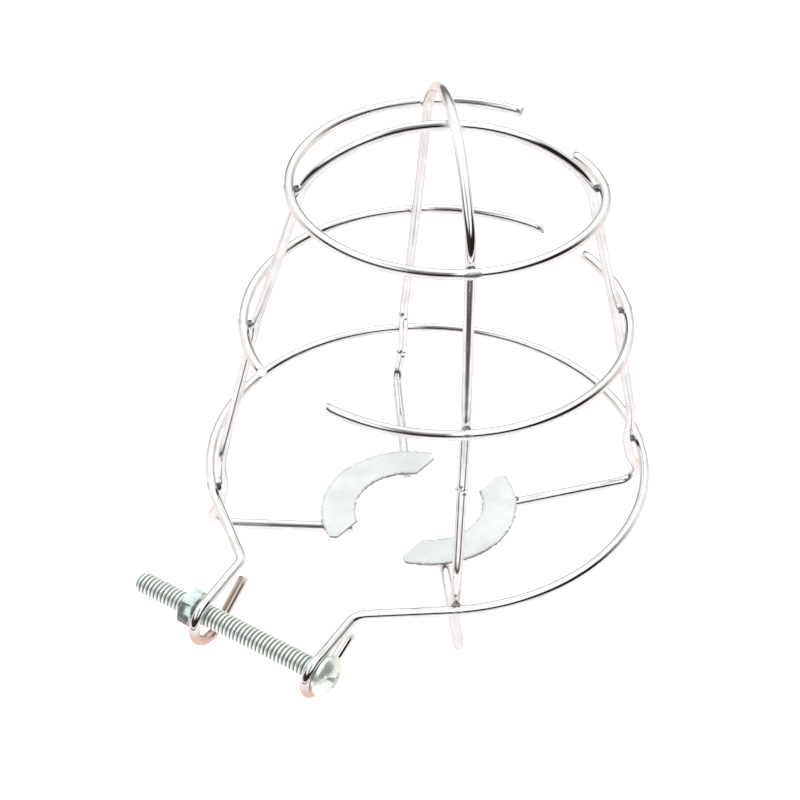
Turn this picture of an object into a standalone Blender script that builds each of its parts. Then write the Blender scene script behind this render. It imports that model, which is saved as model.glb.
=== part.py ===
"""Wire guard for a heat lamp: two crossed arch wires, a top ring, a split middle ring, a clamp
ring with hooked ends, two collar plates for the lamp holder, and the clamp screw with its nut.

The guard stands dome up on its four feet. The clamp faces -Y and its screw lies along X.
"""
import math

import bmesh
import bpy
from mathutils import Matrix, Vector

MM = 0.001

# Driving dimensions
WIRE = 3.0 * MM                      # wire diameter of every ring and arch
GAP = 0.3 * MM                       # clearance left between neighbouring pieces
WIRE_SIDES = 12
BEND_STEP = math.radians(11.0)       # how finely bends, rings and other curves are divided
RING_STEP = 6.0
CURVE_STEPS = 14

BOTTOM_RING_RADIUS = 65.0 * MM       # to the wire's centre line, like every ring radius
BOTTOM_RING_HEIGHT = 20.4 * MM
MIDDLE_RING_RADIUS = {"right": 52.4 * MM, "left": 55.3 * MM}
MIDDLE_RING_SHIFT = {"right": Vector((1.3, 1.1, 0.0)) * MM, "left": Vector((0.3, 0.0, 0.0)) * MM}
MIDDLE_RING_HEIGHT = 73.0 * MM
MIDDLE_RING_ENDS = {"right": (-94.0, 70.0), "left": (88.3, 241.7)}
TOP_RING_RADIUS = 42.9 * MM
TOP_RING_HEIGHT = 118.0 * MM
TOP_RING_ENDS = (93.5, 370.0)        # bearings from +X of one cut end and of the start of the
TOP_RING_TURN_IN = 63.0              # tighter bend that the other end runs into, degrees
TOP_RING_TIGHT_RADIUS = 30.0 * MM

LEG_BEARINGS = {                     # at the bottom, middle and top rings, degrees from +X
    "front": (-49.8, -50.7, -49.5),
    "back": (130.2, 130.5, 131.1),
    "right": (42.6, 38.0, 30.5),
    "left": (-133.5, -142.0, -140.6),
}
LEG_EASE = {"front": 0.0, "back": 0.0, "right": 1.2 * MM, "left": 0.0}
LEAN = 0.0368                        # sideways run of the cage axis per unit of height
LEAN_BEARING = math.radians(32.0)
LEAN_PIVOT_HEIGHT = 57.0 * MM        # where the leaning axis crosses the upright one

CROWN_HEIGHT = 137.5 * MM            # wire centre of the lower arch at its crown
CROWN_RADIUS = 50.0 * MM
CROWN_REACH = 33.0 * MM              # how far the crown's arc runs before the shoulder
UPPER_CROWN_TILT = 0.05              # the upper arch's crown falls towards the back
SHOULDER_RADIUS = 18.0 * MM

FOOT_PLACE = {                       # the corner between each leg and its arm
    "front": Vector((40.5, -47.3, 0.0)) * MM,
    "back": Vector((-43.5, 46.5, 0.0)) * MM,
    "right": Vector((48.5, 48.6, 0.0)) * MM,
    "left": Vector((-51.5, -45.2, 0.0)) * MM,
}
ARM_END = {                          # the arm's cut end, under its collar plate
    "front": Vector((13.7, -15.1, 0.0)) * MM,
    "back": Vector((-13.4, 7.1, 0.0)) * MM,
    "right": Vector((17.1, 10.4, 0.0)) * MM,
    "left": Vector((-13.7, -22.0, 0.0)) * MM,
}
FOOT_BEND = 5.0 * MM
NOTCH_BELOW = 7.0 * MM               # the leg's notch for the bottom ring, below and above it
NOTCH_ABOVE = 9.0 * MM
NOTCH_DEPTH = 1.6 * MM
NOTCH_BEND = 7.0 * MM
LEG_BEND = 30.0 * MM
WELD_SLACK = 0.15 * MM

PLATE_OUTER_RADIUS = 27.3 * MM
PLATE_INNER_RADIUS = 17.0 * MM
PLATE_THICKNESS = 0.8 * MM
PLATE_CUT = 9.4 * MM                 # from the plate's centre to its straight end cuts
PLATE_CORNER = 2.2 * MM              # the clipped outer corners
PLATE_CENTRE = {"right": Vector((0.0, -2.0, 0.0)) * MM, "left": Vector((-2.0, -7.8, 0.0)) * MM}
PLATE_TURN = {"right": -5.5, "left": 174.5}

LEAD_X = {"right": 18.8 * MM, "left": -20.0 * MM}   # the clamp ring's two leads at their corners
EYE_X = {"right": 19.9 * MM, "left": -17.9 * MM}    # and at the tops of their eyes
LEAD_BEND = 6.0 * MM
LEAD_CORNER = 67.5 * MM              # from the ring's centre to the corners of the leads
LEAD_TANGENT = 50.0                  # bearing below the X axis where the ring runs straight
SCREW_DISTANCE = 86.5 * MM           # from the cage's centre to the screw's axis
EYE_RADIUS = {"right": 5.7 * MM, "left": 6.3 * MM}
EYE_WRAP = 24.0                      # how far past half a turn the eye goes, degrees
EYE_DRIFT = {"right": -0.8 * MM, "left": 0.7 * MM}   # along the screw, round the eye
TAIL_REACH = 16.3 * MM
TAIL_RISE = {"right": 3.6 * MM, "left": 5.2 * MM}
TAIL_DRIFT = {"right": -2.2 * MM, "left": -1.9 * MM}

SCREW_DIAMETER = 6.35 * MM           # 1/4 in, 20 threads to the inch
SCREW_PITCH = 1.27 * MM
SCREW_LENGTH = 63.5 * MM
THREAD_DEPTH = 0.65 * MM
THREAD_STEPS = 16
HEAD_DIAMETER = 12.0 * MM
HEAD_HEIGHT = 3.9 * MM
HEAD_RIM = 1.2 * MM
HEAD_EDGE = 0.2 * MM
HEAD_SIDES = 32
HEAD_STEPS = 7
CROSS_WIDTH = 1.5 * MM               # the head's cross recess and the straight slot through it
CROSS_SPAN = 5.6 * MM
CROSS_DEPTH = 2.7 * MM
CROSS_TAPER = 0.45
SLOT_WIDTH = 1.0 * MM
SLOT_DEPTH = 1.5 * MM
RECESS_TURN = -47.0
NUT_FLATS = 10.4 * MM
NUT_THICKNESS = 4.0 * MM
NUT_CHAMFER = 0.6 * MM               # of the bore's mouths
NUT_ROUNDING = math.radians(30.0)    # slope of the chamfer round the corners of its faces
NUT_ROUNDING_INSET = 0.2 * MM
NUT_ROUNDING_SIDES = 48
NUT_ROOM = 0.7 * MM                  # between the eye and the nut, for the slanted lead
NUT_TURN = 4.0                      # how the nut's flats happen to stand, degrees

# Sizes that follow from them
CONTACT = WIRE + GAP                 # spacing of two crossing wires' centre lines
ARM_HEIGHT = WIRE / 2
SCREW_HEIGHT = BOTTOM_RING_HEIGHT - (SCREW_DIAMETER + WIRE) / 2 - GAP
UPPER_ARCH_LIFT = CONTACT + WELD_SLACK
HEAD_FACE_X = EYE_X["right"] + WIRE / 2 + GAP
NUT_FACE_X = EYE_X["left"] - WIRE / 2 - GAP - NUT_ROOM
NUT_BORE = SCREW_DIAMETER / 2 + GAP
FRONT = SCREW_DISTANCE + max(EYE_RADIUS.values()) + WIRE / 2
BACK = BOTTOM_RING_RADIUS + WIRE / 2


def clear_scene():
    for item in list(bpy.data.objects):
        bpy.data.objects.remove(item, do_unlink=True)


def make_material(name, colour, roughness, metallic=1.0):
    material = bpy.data.materials.new(name)
    material.use_nodes = True
    shader = material.node_tree.nodes["Principled BSDF"]
    shader.inputs["Base Color"].default_value = (*colour, 1.0)
    shader.inputs["Roughness"].default_value = roughness
    shader.inputs["Metallic"].default_value = metallic
    return material


# Paths

def bearing_vector(degrees):
    angle = math.radians(degrees)
    return Vector((math.cos(angle), math.sin(angle), 0.0))


def axis_at(height):
    """The leaning cage axis at a height, about the cage's own centre."""
    run = (height - LEAN_PIVOT_HEIGHT) * LEAN
    return Vector((run * math.cos(LEAN_BEARING), run * math.sin(LEAN_BEARING), height))


def rounded(corners, radii):
    """The polyline through the corners, its inner ones turned into arcs for as far as radii go."""
    path = [corners[0]]
    radii = radii + [0.0] * (len(corners) - 2 - len(radii))
    for before, corner, after, radius in zip(corners, corners[1:], corners[2:], radii):
        back = (before - corner).normalized()
        ahead = (after - corner).normalized()
        opening = back.angle(ahead)
        turn = math.pi - opening
        if radius <= 0.0 or turn < BEND_STEP / 4:
            path.append(corner)
            continue
        centre = corner + (back + ahead).normalized() * (radius / math.sin(opening / 2))
        start = corner + back * (radius / math.tan(opening / 2)) - centre
        finish = corner + ahead * (radius / math.tan(opening / 2)) - centre
        across = (finish - start * (finish.dot(start) / start.length_squared)).normalized() * radius
        count = max(2, round(turn / BEND_STEP))
        for index in range(count + 1):
            angle = turn * index / count
            path.append(centre + start * math.cos(angle) + across * math.sin(angle))
    path.append(corners[-1])
    return path


def cage_centre():
    """Where the cage's own centre stands, so that the whole part is centred on the origin."""
    ring = axis_at(BOTTOM_RING_HEIGHT)
    return Vector((-ring.x, (FRONT - BACK - ring.y) / 2, 0.0))


def ring_arc(centre, radius, first, last, step=RING_STEP):
    count = max(2, round(abs(last - first) / step))
    return [centre + bearing_vector(first + (last - first) * index / count) * radius
            for index in range(count + 1)]


def wire(name, path, material):
    """A round wire along a path, with flat cut ends."""
    curve = bpy.data.curves.new(name, "CURVE")
    curve.dimensions = "3D"
    curve.bevel_depth = WIRE / 2
    curve.bevel_resolution = (WIRE_SIDES - 4) // 2
    curve.use_fill_caps = True
    spline = curve.splines.new("POLY")
    spline.points.add(len(path) - 1)
    for point, place in zip(spline.points, path):
        point.co = (*(place + cage_centre()), 1.0)
    spline.use_smooth = True
    item = bpy.data.objects.new(name, curve)
    bpy.context.collection.objects.link(item)
    item.data.materials.append(material)
    return item


# The two arch wires

def contact(name, ring):
    """The centre of a leg where it is welded inside a ring: 0 bottom, 1 middle, 2 top."""
    half = "right" if name in ("front", "right") else "left"
    radius, height, shift = (
        (BOTTOM_RING_RADIUS, BOTTOM_RING_HEIGHT, Vector()),
        (MIDDLE_RING_RADIUS[half], MIDDLE_RING_HEIGHT, MIDDLE_RING_SHIFT[half]),
        (TOP_RING_RADIUS - LEG_EASE[name], TOP_RING_HEIGHT, Vector()),
    )[ring]
    outward = bearing_vector(LEG_BEARINGS[name][ring])
    return axis_at(height) + shift + outward * (radius - CONTACT - WELD_SLACK)


def leg(name):
    """Corners and bend radii of one leg, from its arm's end under the plate to the middle ring."""
    bottom = contact(name, 0)
    outward = bearing_vector(LEG_BEARINGS[name][0])
    arm = Vector((0.0, 0.0, ARM_HEIGHT))
    corners = [
        ARM_END[name] + arm,
        FOOT_PLACE[name] + arm,
        bottom + outward * NOTCH_DEPTH - Vector((0.0, 0.0, NOTCH_BELOW)),
        bottom,
        bottom + outward * NOTCH_DEPTH / 2 + Vector((0.0, 0.0, NOTCH_ABOVE)),
        contact(name, 1),
    ]
    return corners, [FOOT_BEND, NOTCH_BEND, NOTCH_BEND, 3 * NOTCH_BEND, LEG_BEND]


def shoulder(name, middle, along, edge, slope):
    """The corner where a leg's own line meets the line that runs on from the crown's arc."""
    ring, top = contact(name, 1), contact(name, 2)
    climb = (top - ring) / (top.z - ring.z)
    taper = climb.dot(along)
    reach = (top - middle).dot(along)
    rise = ((edge.z - top.z) + slope * ((edge - middle).dot(along) - reach)) / (1 + slope * taper)
    return top + climb * rise


def arch_wire(name, first, second, crown_height, tilt, material):
    """An arch from one foot over the crown to the opposite foot, its crown tilted at will."""
    tops = contact(first, 2), contact(second, 2)
    middle = (tops[0] + tops[1]) / 2
    along = Vector((tops[0].x - middle.x, tops[0].y - middle.y, 0.0)).normalized()
    arc = []
    for index in range(CURVE_STEPS + 1):
        reach = CROWN_REACH * (1 - 2 * index / CURVE_STEPS)
        drop = CROWN_RADIUS - math.sqrt(CROWN_RADIUS ** 2 - reach ** 2)
        place = middle + along * reach
        arc.append(Vector((place.x, place.y, crown_height - drop + tilt * reach)))
    slope = CROWN_REACH / math.sqrt(CROWN_RADIUS ** 2 - CROWN_REACH ** 2)
    here, here_radii = leg(first)
    there, there_radii = leg(second)
    corners = (here + [shoulder(first, middle, along, arc[0], slope)] + arc
               + [shoulder(second, middle, -along, arc[-1], slope)] + there[::-1])
    radii = (here_radii + [SHOULDER_RADIUS] + [0.0] * len(arc)
             + [SHOULDER_RADIUS] + there_radii[::-1])
    return wire(name, rounded(corners, radii), material)


# The rings

def top_ring(material):
    """A ring left open, with one end bent in a little more tightly than the rest."""
    first, last = TOP_RING_ENDS
    centre = axis_at(TOP_RING_HEIGHT)
    path = ring_arc(centre, TOP_RING_RADIUS, first, last)
    tight = centre + bearing_vector(last) * (TOP_RING_RADIUS - TOP_RING_TIGHT_RADIUS)
    path += ring_arc(tight, TOP_RING_TIGHT_RADIUS, last, last + TOP_RING_TURN_IN)[1:]
    return wire("top_ring", path, material)


def middle_ring_half(side, material):
    centre = axis_at(MIDDLE_RING_HEIGHT) + MIDDLE_RING_SHIFT[side]
    path = ring_arc(centre, MIDDLE_RING_RADIUS[side], *MIDDLE_RING_ENDS[side])
    return wire("middle_ring_" + side + "_half", path, material)


def hook(side):
    """The ring's hooked end, from the top of its eye round the screw to the tip of its tail."""
    top = Vector((EYE_X[side], -SCREW_DISTANCE, BOTTOM_RING_HEIGHT))
    radius = EYE_RADIUS[side]
    path = []
    for index in range(CURVE_STEPS + 1):
        turned = index / CURVE_STEPS
        angle = math.radians(180.0 + EYE_WRAP) * turned
        path.append(top + Vector((EYE_DRIFT[side] * turned, -radius * math.sin(angle),
                                  radius * (math.cos(angle) - 1))))
    tip = Vector((top.x + TAIL_DRIFT[side], path[-1].y + TAIL_REACH, path[-1].z + TAIL_RISE[side]))
    path.append(tip)
    return path


def clamp_ring(material):
    centre = axis_at(BOTTOM_RING_HEIGHT)
    body = ring_arc(centre, BOTTOM_RING_RADIUS, -LEAD_TANGENT, 180.0 + LEAD_TANGENT)
    sides = {}
    for side, joint in (("right", body[0]), ("left", body[-1])):
        corner = Vector((LEAD_X[side], -LEAD_CORNER, BOTTOM_RING_HEIGHT))
        sides[side] = rounded([joint, corner] + hook(side), [LEAD_BEND, LEAD_BEND])[1:]
    path = sides["right"][::-1] + body + sides["left"]
    return wire("clamp_ring", path, material)


# The collar plates

def plate_outline():
    """Half a washer with straight end cuts and clipped outer corners, opening towards -X."""
    outer_y = math.sqrt(PLATE_OUTER_RADIUS ** 2 - PLATE_CUT ** 2)
    inner_y = math.sqrt(PLATE_INNER_RADIUS ** 2 - PLATE_CUT ** 2)
    clip = math.degrees(math.atan2(outer_y, PLATE_CUT)) - math.degrees(
        PLATE_CORNER / PLATE_OUTER_RADIUS)
    inner = math.degrees(math.atan2(inner_y, PLATE_CUT))
    nothing = Vector((0.0, 0.0, 0.0))
    outline = ring_arc(nothing, PLATE_OUTER_RADIUS, -clip, clip, 5.0)
    outline.append(Vector((PLATE_CUT, outer_y - PLATE_CORNER, 0.0)))
    outline += ring_arc(nothing, PLATE_INNER_RADIUS, inner, -inner, 7.0)
    outline.append(Vector((PLATE_CUT, PLATE_CORNER - outer_y, 0.0)))
    return outline


def collar_plate(side, material):
    name = "collar_plate_" + side
    mesh = bpy.data.meshes.new(name)
    shape = bmesh.new()
    face = shape.faces.new([shape.verts.new(place) for place in plate_outline()])
    if face.normal.z < 0:
        face.normal_flip()
    raised = bmesh.ops.extrude_face_region(shape, geom=[face])
    moved = [part for part in raised["geom"] if isinstance(part, bmesh.types.BMVert)]
    bmesh.ops.translate(shape, verts=moved, vec=(0.0, 0.0, PLATE_THICKNESS))
    bmesh.ops.recalc_face_normals(shape, faces=shape.faces)
    shape.to_mesh(mesh)
    shape.free()
    item = bpy.data.objects.new(name, mesh)
    bpy.context.collection.objects.link(item)
    item.data.materials.append(material)
    item.rotation_euler.z = math.radians(PLATE_TURN[side])
    item.location = PLATE_CENTRE[side] + cage_centre() + Vector((0.0, 0.0, WIRE + GAP))
    return item


# The screw and its nut, both built along X with the bearing face at the origin

def spun(profile, steps):
    """A closed solid of revolution about X from (x, radius) pairs that start and end on the axis."""
    shape = bmesh.new()
    verts = [shape.verts.new((x, radius, 0.0)) for x, radius in profile]
    edges = [shape.edges.new(pair) for pair in zip(verts, verts[1:])]
    bmesh.ops.spin(shape, geom=verts + edges, axis=(1.0, 0.0, 0.0), cent=(0.0, 0.0, 0.0),
                   angle=math.tau, steps=steps, use_merge=False)
    bmesh.ops.remove_doubles(shape, verts=shape.verts, dist=1e-6)
    bmesh.ops.recalc_face_normals(shape, faces=shape.faces)
    return shape


def object_from(shape, name, material=None):
    mesh = bpy.data.meshes.new(name)
    shape.to_mesh(mesh)
    shape.free()
    item = bpy.data.objects.new(name, mesh)
    bpy.context.collection.objects.link(item)
    if material:
        mesh.materials.append(material)
    return item


def combine(item, cutter, operation):
    modifier = item.modifiers.new(operation.lower() + "_" + cutter.name, "BOOLEAN")
    modifier.operation = operation
    modifier.solver = "EXACT"
    modifier.object = cutter
    cutter.hide_render = True
    cutter.display_type = "WIRE"


def threaded_rod(length):
    """A rod with a V thread along X, from inside the head to its free end at -length."""
    shape = bmesh.new()
    rows = 2 * (math.ceil(length / SCREW_PITCH) + 3)
    crest = SCREW_DIAMETER / 2
    grid = []
    for row in range(rows + 1):
        radius = crest if row % 2 else crest - THREAD_DEPTH
        ring = []
        for step in range(THREAD_STEPS):
            angle = math.tau * step / THREAD_STEPS
            along = SCREW_PITCH * (1.5 - row / 2 - step / THREAD_STEPS)
            ring.append(shape.verts.new((along, radius * math.cos(angle), radius * math.sin(angle))))
        grid.append(ring)
    for row in range(rows):
        for step in range(THREAD_STEPS):
            if step + 1 < THREAD_STEPS:
                near, far = grid[row][step + 1], grid[row + 1][step + 1]
            elif row + 3 <= rows:
                near, far = grid[row + 2][0], grid[row + 3][0]
            else:
                continue
            shape.faces.new((grid[row][step], near, far, grid[row + 1][step]))
    for place, normal in ((GAP, 1.0), (-length, -1.0)):
        geometry = list(shape.verts) + list(shape.edges) + list(shape.faces)
        bmesh.ops.bisect_plane(shape, geom=geometry, plane_co=(place, 0.0, 0.0),
                               plane_no=(normal, 0.0, 0.0), clear_outer=True)
    rims = [edge for edge in shape.edges if edge.is_boundary]
    bmesh.ops.holes_fill(shape, edges=rims, sides=0)
    bmesh.ops.recalc_face_normals(shape, faces=shape.faces)
    return shape


def screw_head():
    dome = HEAD_HEIGHT - HEAD_RIM
    radius = HEAD_DIAMETER / 2
    curve = (radius ** 2 + dome ** 2) / (2 * dome)
    profile = [(0.0, 0.0), (0.0, radius - HEAD_EDGE), (HEAD_EDGE, radius)]
    for index in range(HEAD_STEPS + 1):
        out = radius * (1 - index / HEAD_STEPS)
        rise = math.sqrt(curve ** 2 - out ** 2) - (curve - dome)
        profile.append((HEAD_RIM + rise, out))
    return spun(profile, HEAD_SIDES)


def blade_cutter(name, turn, width, span, depth, taper):
    """A blade that cuts a recess of this depth across the head's top, narrowed to its foot."""
    shape = bmesh.new()
    made = bmesh.ops.create_cube(shape, size=1.0)
    for vert in made["verts"]:
        outer = vert.co.x > 0
        vert.co.x = HEAD_HEIGHT + (MM if outer else -depth)
        vert.co.y *= span * (1.0 if outer else taper)
        vert.co.z *= width
    bmesh.ops.rotate(shape, verts=made["verts"], cent=(0.0, 0.0, 0.0),
                     matrix=Matrix.Rotation(math.radians(turn), 3, "X"))
    return object_from(shape, name)


def clamp_screw(material):
    place = cage_centre() + Vector((HEAD_FACE_X, -SCREW_DISTANCE, SCREW_HEIGHT))
    screw = object_from(screw_head(), "clamp_screw", material)
    rod = object_from(threaded_rod(SCREW_LENGTH), "cut_rod")
    cross = (CROSS_WIDTH, CROSS_SPAN, CROSS_DEPTH, CROSS_TAPER)
    blades = [
        blade_cutter("cut_slot", RECESS_TURN, SLOT_WIDTH, 2 * HEAD_DIAMETER, SLOT_DEPTH, 1.0),
        blade_cutter("cut_cross_along", RECESS_TURN, *cross),
        blade_cutter("cut_cross_over", RECESS_TURN + 90.0, *cross),
    ]
    combine(screw, rod, "UNION")
    for blade in blades:
        combine(screw, blade, "DIFFERENCE")
    for item in [screw, rod, *blades]:
        item.location = place
    return screw


def clamp_nut(material):
    corner = NUT_FLATS / 2 / math.cos(math.pi / 6)
    shape = bmesh.new()
    turned = Matrix.Rotation(math.radians(NUT_TURN), 4, "X") @ Matrix.Rotation(math.pi / 2, 4, "Y")
    bmesh.ops.create_cone(shape, cap_ends=True, segments=6, radius1=corner, radius2=corner,
                          depth=NUT_THICKNESS, matrix=turned)
    bmesh.ops.translate(shape, verts=shape.verts, vec=(-NUT_THICKNESS / 2, 0.0, 0.0))
    nut = object_from(shape, "clamp_nut", material)
    flat = NUT_FLATS / 2 - NUT_ROUNDING_INSET
    slope = math.tan(NUT_ROUNDING)
    wide = corner + MM
    drop = (wide - flat) * slope
    round_off = object_from(spun([
        (-NUT_THICKNESS, 0.0), (-NUT_THICKNESS, flat), (drop - NUT_THICKNESS, wide),
        (-drop, wide), (0.0, flat), (0.0, 0.0)], NUT_ROUNDING_SIDES), "cut_round_off")
    mouth = NUT_BORE + NUT_CHAMFER
    bore = object_from(spun([
        (-NUT_THICKNESS - MM, 0.0), (-NUT_THICKNESS - MM, mouth), (-NUT_THICKNESS, mouth),
        (NUT_CHAMFER - NUT_THICKNESS, NUT_BORE), (-NUT_CHAMFER, NUT_BORE), (0.0, mouth),
        (MM, mouth), (MM, 0.0)], HEAD_SIDES), "cut_bore")
    combine(nut, round_off, "INTERSECT")
    combine(nut, bore, "DIFFERENCE")
    place = cage_centre() + Vector((NUT_FACE_X, -SCREW_DISTANCE, SCREW_HEIGHT))
    for item in (nut, round_off, bore):
        item.location = place
    return nut


def build():
    clear_scene()
    plated_wire = make_material("plated_wire", (0.78, 0.78, 0.77), 0.12)
    plated_sheet = make_material("plated_sheet", (0.72, 0.73, 0.73), 0.32)
    zinc_screw = make_material("zinc_screw", (0.70, 0.74, 0.70), 0.28)
    zinc_nut = make_material("zinc_nut", (0.66, 0.71, 0.70), 0.25)
    arch_wire("upper_arch_wire", "front", "back", CROWN_HEIGHT + UPPER_ARCH_LIFT,
              UPPER_CROWN_TILT, plated_wire)
    arch_wire("lower_arch_wire", "right", "left", CROWN_HEIGHT, 0.0, plated_wire)
    top_ring(plated_wire)
    middle_ring_half("right", plated_wire)
    middle_ring_half("left", plated_wire)
    clamp_ring(plated_wire)
    collar_plate("right", plated_sheet)
    collar_plate("left", plated_sheet)
    clamp_screw(zinc_screw)
    clamp_nut(zinc_nut)


build()
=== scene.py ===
"""The looks of the wire lamp guard: plated wires, sheet plates, weld nuggets, screw and nut."""
import math

import bmesh
import bpy
from mathutils import Matrix, Vector, noise


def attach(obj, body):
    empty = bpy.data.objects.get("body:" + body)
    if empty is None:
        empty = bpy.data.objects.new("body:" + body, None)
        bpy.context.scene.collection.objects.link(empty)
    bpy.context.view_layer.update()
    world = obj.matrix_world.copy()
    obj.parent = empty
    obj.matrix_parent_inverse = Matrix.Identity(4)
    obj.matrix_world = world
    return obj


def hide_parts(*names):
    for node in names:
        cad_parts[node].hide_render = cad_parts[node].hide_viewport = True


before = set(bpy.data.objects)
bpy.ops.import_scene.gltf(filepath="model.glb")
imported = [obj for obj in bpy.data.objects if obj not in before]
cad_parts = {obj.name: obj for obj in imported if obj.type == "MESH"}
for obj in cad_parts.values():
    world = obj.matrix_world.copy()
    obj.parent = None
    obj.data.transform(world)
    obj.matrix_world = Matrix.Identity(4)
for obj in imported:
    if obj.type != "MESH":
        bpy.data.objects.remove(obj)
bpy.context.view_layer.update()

MM = 0.001

# Sizes of the guard, as in the CAD

WIRE = 3.0 * MM
GAP = 0.3 * MM
BOTTOM_RING_RADIUS = 65.0 * MM
BOTTOM_RING_HEIGHT = 20.4 * MM
MIDDLE_RING_RADIUS = {"right": 52.4 * MM, "left": 55.3 * MM}
MIDDLE_RING_SHIFT = {"right": Vector((1.3, 1.1, 0.0)) * MM, "left": Vector((0.3, 0.0, 0.0)) * MM}
MIDDLE_RING_HEIGHT = 73.0 * MM
MIDDLE_RING_ENDS = {"right": (-94.0, 70.0), "left": (88.3, 241.7)}
TOP_RING_RADIUS = 42.9 * MM
TOP_RING_HEIGHT = 118.0 * MM
TOP_RING_ENDS = (93.5, 370.0)
TOP_RING_TURN_IN = 63.0
TOP_RING_TIGHT_RADIUS = 30.0 * MM

LEG_BEARINGS = {                     # at the bottom, middle and top rings, degrees from +X
    "front": (-49.8, -50.7, -49.5),
    "back": (130.2, 130.5, 131.1),
    "right": (42.6, 38.0, 30.5),
    "left": (-133.5, -142.0, -140.6),
}
LEG_EASE = {"front": 0.0, "back": 0.0, "right": 1.2 * MM, "left": 0.0}
LEAN = 0.0368
LEAN_BEARING = math.radians(32.0)
LEAN_PIVOT_HEIGHT = 57.0 * MM
CROWN_HEIGHT = 137.5 * MM
CROWN_RADIUS = 50.0 * MM
CROWN_REACH = 33.0 * MM
UPPER_CROWN_TILT = 0.05
SHOULDER_RADIUS = 18.0 * MM
FOOT_PLACE = {
    "front": Vector((40.5, -47.3, 0.0)) * MM,
    "back": Vector((-43.5, 46.5, 0.0)) * MM,
    "right": Vector((48.5, 48.6, 0.0)) * MM,
    "left": Vector((-51.5, -45.2, 0.0)) * MM,
}
ARM_END = {
    "front": Vector((13.7, -15.1, 0.0)) * MM,
    "back": Vector((-13.4, 7.1, 0.0)) * MM,
    "right": Vector((17.1, 10.4, 0.0)) * MM,
    "left": Vector((-13.7, -22.0, 0.0)) * MM,
}
FOOT_BEND = 5.0 * MM
NOTCH_BELOW = 7.0 * MM
NOTCH_ABOVE = 9.0 * MM
NOTCH_DEPTH = 1.6 * MM
NOTCH_BEND = 7.0 * MM
LEG_BEND = 30.0 * MM
WELD_SLACK = 0.15 * MM
MARK_RISE = 0.5
OLD_BEADS = (("front", 55.6 * MM), ("back", 28.0 * MM), ("back", 12.0 * MM))

PLATE_OUTER_RADIUS = 27.3 * MM
PLATE_INNER_RADIUS = 17.0 * MM
PLATE_THICKNESS = 0.8 * MM
PLATE_CUT = 9.4 * MM
PLATE_CORNER = 2.2 * MM
PLATE_CENTRE = {"right": Vector((0.0, -2.0, 0.0)) * MM, "left": Vector((-2.0, -7.8, 0.0)) * MM}
PLATE_TURN = {"right": -5.5, "left": 174.5}

LEAD_X = {"right": 18.8 * MM, "left": -20.0 * MM}
EYE_X = {"right": 19.9 * MM, "left": -17.9 * MM}
LEAD_BEND = 6.0 * MM
LEAD_CORNER = 67.5 * MM
LEAD_TANGENT = 50.0
SCREW_DISTANCE = 86.5 * MM
EYE_RADIUS = {"right": 5.7 * MM, "left": 6.3 * MM}
EYE_WRAP = 24.0
EYE_DRIFT = {"right": -0.8 * MM, "left": 0.7 * MM}
TAIL_REACH = 16.3 * MM
TAIL_RISE = {"right": 3.6 * MM, "left": 5.2 * MM}
TAIL_DRIFT = {"right": -2.2 * MM, "left": -1.9 * MM}

SCREW_DIAMETER = 6.35 * MM
SCREW_PITCH = 1.27 * MM
SCREW_LENGTH = 63.5 * MM
THREAD_DEPTH = 0.65 * MM
HEAD_DIAMETER = 12.0 * MM
HEAD_HEIGHT = 3.9 * MM
HEAD_RIM = 1.2 * MM
CROSS_WIDTH = 1.5 * MM
CROSS_SPAN = 5.6 * MM
CROSS_DEPTH = 2.7 * MM
CROSS_TAPER = 0.45
SLOT_WIDTH = 1.0 * MM
SLOT_DEPTH = 1.5 * MM
RECESS_TURN = -47.0
NUT_FLATS = 10.4 * MM
NUT_THICKNESS = 4.0 * MM
NUT_CHAMFER = 0.6 * MM
NUT_SIDE_ROOM = 0.7 * MM
NUT_TURN = 4.0

CONTACT = WIRE + GAP
ARM_HEIGHT = WIRE / 2
SCREW_HEIGHT = BOTTOM_RING_HEIGHT - (SCREW_DIAMETER + WIRE) / 2 - GAP
UPPER_ARCH_LIFT = CONTACT + WELD_SLACK
HEAD_FACE_X = EYE_X["right"] + WIRE / 2 + GAP
NUT_FACE_X = EYE_X["left"] - WIRE / 2 - GAP - NUT_SIDE_ROOM
NUT_BORE = SCREW_DIAMETER / 2 + GAP
FRONT = SCREW_DISTANCE + max(EYE_RADIUS.values()) + WIRE / 2
BACK = BOTTOM_RING_RADIUS + WIRE / 2
UP = Vector((0.0, 0.0, 1.0))

# How finely curves are divided

BEND_STEP = math.radians(4.5)
RING_STEP = 2.4
CROWN_STEPS = 28
EYE_STEPS = 36
TUBE_SIDES = 24
THREAD_STEPS = 40
HEAD_STEPS = 20
HEAD_SIDES = 96
NUT_SIDES = 120
BORE_SIDES = 64
PLATE_ROWS = 22
PLATE_COLUMNS = 84

# Camera and light

VIEW_AZIMUTH = 33.0
VIEW_ELEVATION = 39.05
VIEW_ROLL = 0.96
VIEW_DISTANCE = 570.0 * MM
VIEW_TARGET = Vector((-8.1, 10.45, 40.85)) * MM
FOCAL_LENGTH = 87.08
STUDIO_TURN = 33.0
FRONT_DARK = (0.022, 0.014, 0.013)
SIDE_DARK = (0.045, 0.04, 0.042)
REAR_LINE = (0.22, 0.21, 0.21)
TABLE_EDGE = (0.10, 0.085, 0.085)
SWEEP = (0.99, 1.02, 1.01)
SOFTBOX = (1.22, 1.25, 1.24)
BAND_LOW = (0.06, 0.05, 0.05)
BAND_HIGH = (0.42, 0.40, 0.41)
FLOOR_NEAR = (1.14, 1.10, 1.13)
FLOOR_FAR = (1.03, 0.89, 0.83)
AMBIENT = (1.7, 1.7, 1.7)
WHITE = (1.0, 1.0, 1.0)
FLOOR_GLOW = 0.45
FLOOR_RADIUS = 0.6
FLOOR_DROP = 0.05 * MM

# The studio's zones, as places on a unit ball: to the right, behind the object, and upwards

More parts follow.
